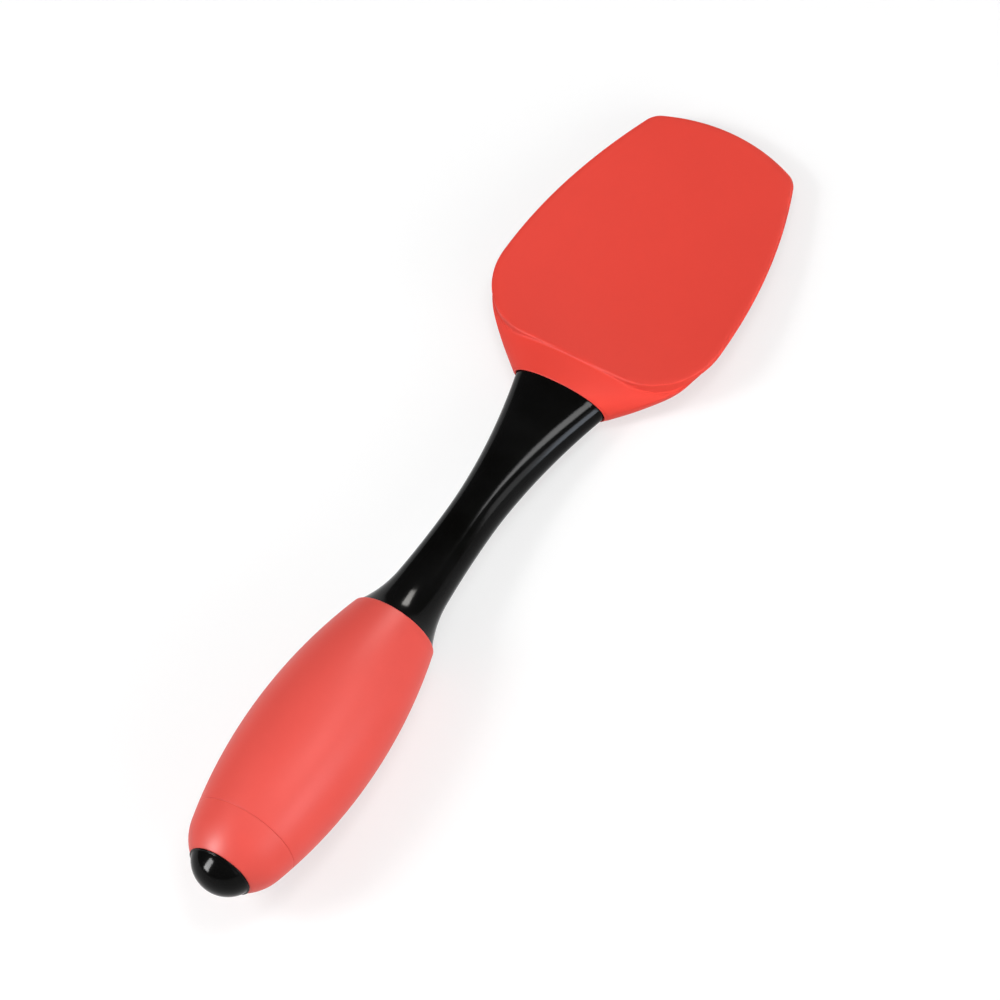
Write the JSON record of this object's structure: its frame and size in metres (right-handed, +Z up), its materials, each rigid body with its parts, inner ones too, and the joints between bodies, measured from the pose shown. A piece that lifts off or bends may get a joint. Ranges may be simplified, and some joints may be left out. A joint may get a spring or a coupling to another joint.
{
  "type": "silicone spatula",
  "caption": "Spoon-shaped silicone spatula: wide, thin, slightly dished head with a lipped socket, waisted neck and a fat barrel grip with a domed end.",
  "frame": {"origin": "on the table, under the middle of the whole tool's bounding box", "axes": "+X across the blade, +Y towards the blade's tip, +Z up, out of the dished face. The tool lies face up on the belly of its grip and the keel of its socket, so the handle's axis leans down 5.25 degrees towards +Y."},
  "size_m": [0.0702, 0.2608, 0.0382],
  "materials": {
    "red_silicone": "matte",
    "red_soft_grip": "satin",
    "black_nylon": "gloss",
    "core_plastic": "matte"
  },
  "bodies": {
    "handle": {"neck": "black_nylon", "grip_sleeve": "red_soft_grip", "grip_core_front": "core_plastic", "grip_core_back": "core_plastic", "grip_end_collar": "red_soft_grip", "end_cap": "black_nylon"},
    "head": {"silicone_head": "red_silicone"}
  },
  "joints": [
    {"name": "head_pull", "type": "slide", "parent": "handle", "child": "head", "axis": [0, 0.9958, -0.0914], "range_m": [0, 0.045]}
  ]
}
